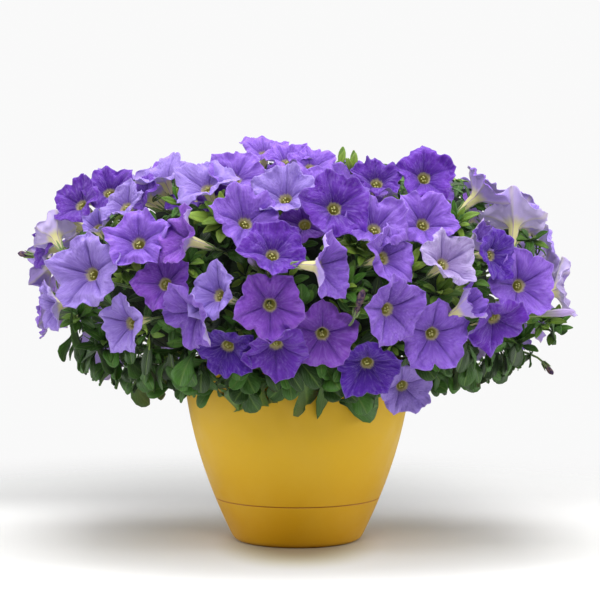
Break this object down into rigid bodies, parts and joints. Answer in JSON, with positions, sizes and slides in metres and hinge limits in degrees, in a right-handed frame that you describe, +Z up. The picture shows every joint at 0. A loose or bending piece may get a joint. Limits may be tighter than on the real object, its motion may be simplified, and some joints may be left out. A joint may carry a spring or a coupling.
{
  "type": "petunia hanging basket",
  "caption": "Tapered plastic pot on its fitted saucer, filled with soil and a domed petunia in bloom, standing on a flat foot.",
  "frame": {"origin": "centre of the saucer's flat foot, on the floor", "axes": "+Z up, -Y towards the viewer of the picture, +X to the viewer's right"},
  "size_m": [0.5972, 0.5595, 0.4318],
  "materials": {
    "pot": "moulded, satin matte",
    "soil": "crumbly potting mix",
    "leaf": "soft, matte and finely hairy",
    "petal": "thin, velvety, with dark veins"
  },
  "bodies": {
    "root": {"blooms_01": "petal", "blooms_02": "petal", "blooms_03": "petal", "blooms_04": "petal", "blooms_05": "petal", "blooms_06": "petal", "blooms_07": "petal", "blooms_08": "petal", "blooms_09": "petal", "blooms_10": "petal", "blooms_11": "petal", "blooms_12": "petal", "blooms_13": "petal", "blooms_14": "petal", "blooms_15": "petal", "blooms_16": "petal", "blooms_17": "petal", "blooms_18": "petal", "blooms_19": "petal", "blooms_20": "petal", "blooms_21": "petal", "blooms_22": "petal", "blooms_23": "petal", "blooms_24": "petal", "blooms_25": "petal", "blooms_26": "petal", "blooms_27": "petal", "blooms_28": "petal", "blooms_29": "petal", "blooms_30": "petal", "blooms_31": "petal", "blooms_32": "petal", "blooms_33": "petal", "blooms_34": "petal", "blooms_35": "petal", "blooms_36": "petal", "blooms_37": "petal", "blooms_38": "petal", "blooms_39": "petal", "blooms_40": "petal", "blooms_41": "petal", "blooms_42": "petal", "blooms_43": "petal", "blooms_44": "petal", "blooms_45": "petal", "blooms_46": "petal", "blooms_47": "petal", "leafy_stem_01": "leaf", "leafy_stem_02": "leaf", "leafy_stem_03": "leaf", "leafy_stem_04": "leaf", "leafy_stem_05": "leaf", "leafy_stem_06": "leaf", "leafy_stem_07": "leaf", "leafy_stem_08": "leaf", "pot": "pot", "saucer": "pot", "soil": "soil"}
  },
  "joints": []
}
